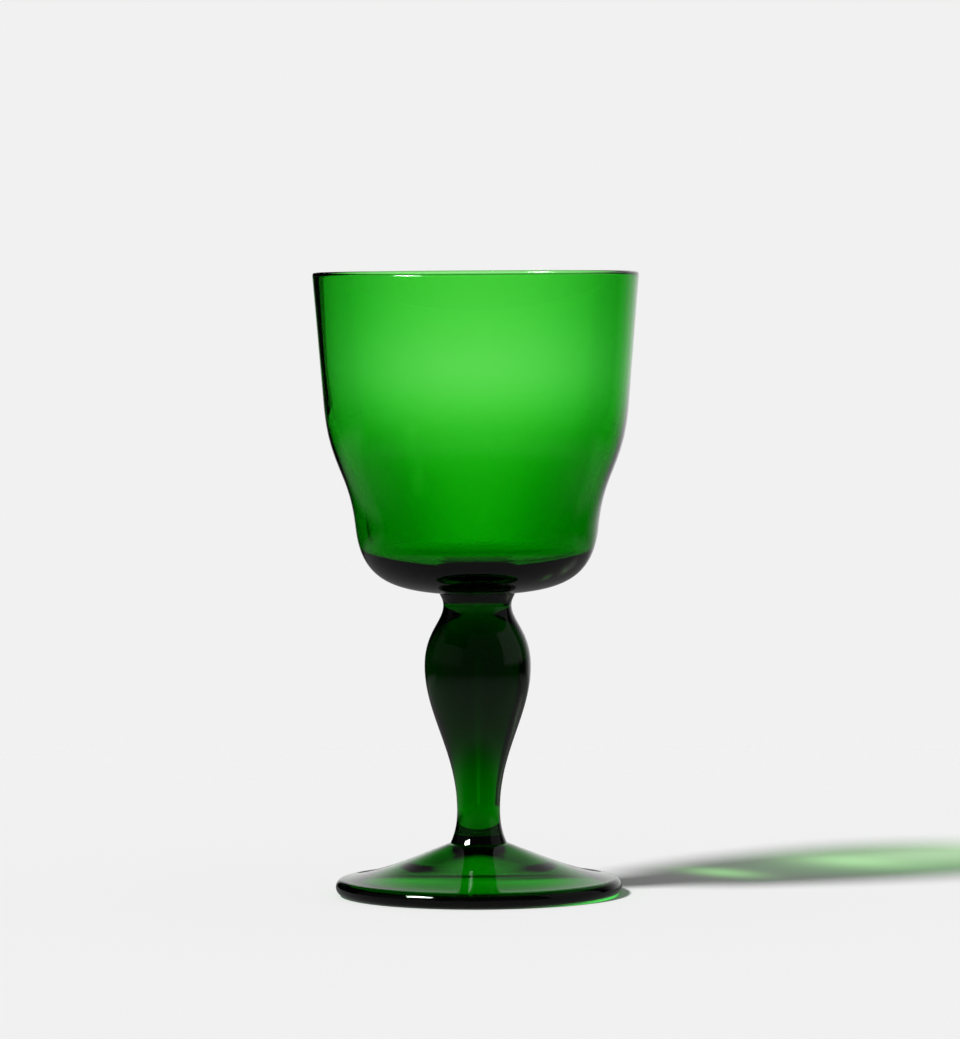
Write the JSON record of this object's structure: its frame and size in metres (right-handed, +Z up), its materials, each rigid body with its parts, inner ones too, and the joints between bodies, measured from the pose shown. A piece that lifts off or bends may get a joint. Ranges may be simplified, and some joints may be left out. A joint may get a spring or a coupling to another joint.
{
  "type": "wine glass",
  "caption": "Stemmed white wine glass: a flaring bowl with a waisted round base, on a solid baluster stem and a spreading round foot, in clear green glass.",
  "frame": {"origin": "on the table, under the middle of the foot", "axes": "+Z up along the axis of the stem, +X and +Y level; the glass is round, so they point anywhere"},
  "size_m": [0.08, 0.08, 0.1527],
  "materials": {
    "green_glass": "fire-polished, clear, coloured green through its whole body"
  },
  "bodies": {
    "root": {"bowl": "green_glass", "stem": "green_glass", "foot": "green_glass"}
  },
  "joints": []
}
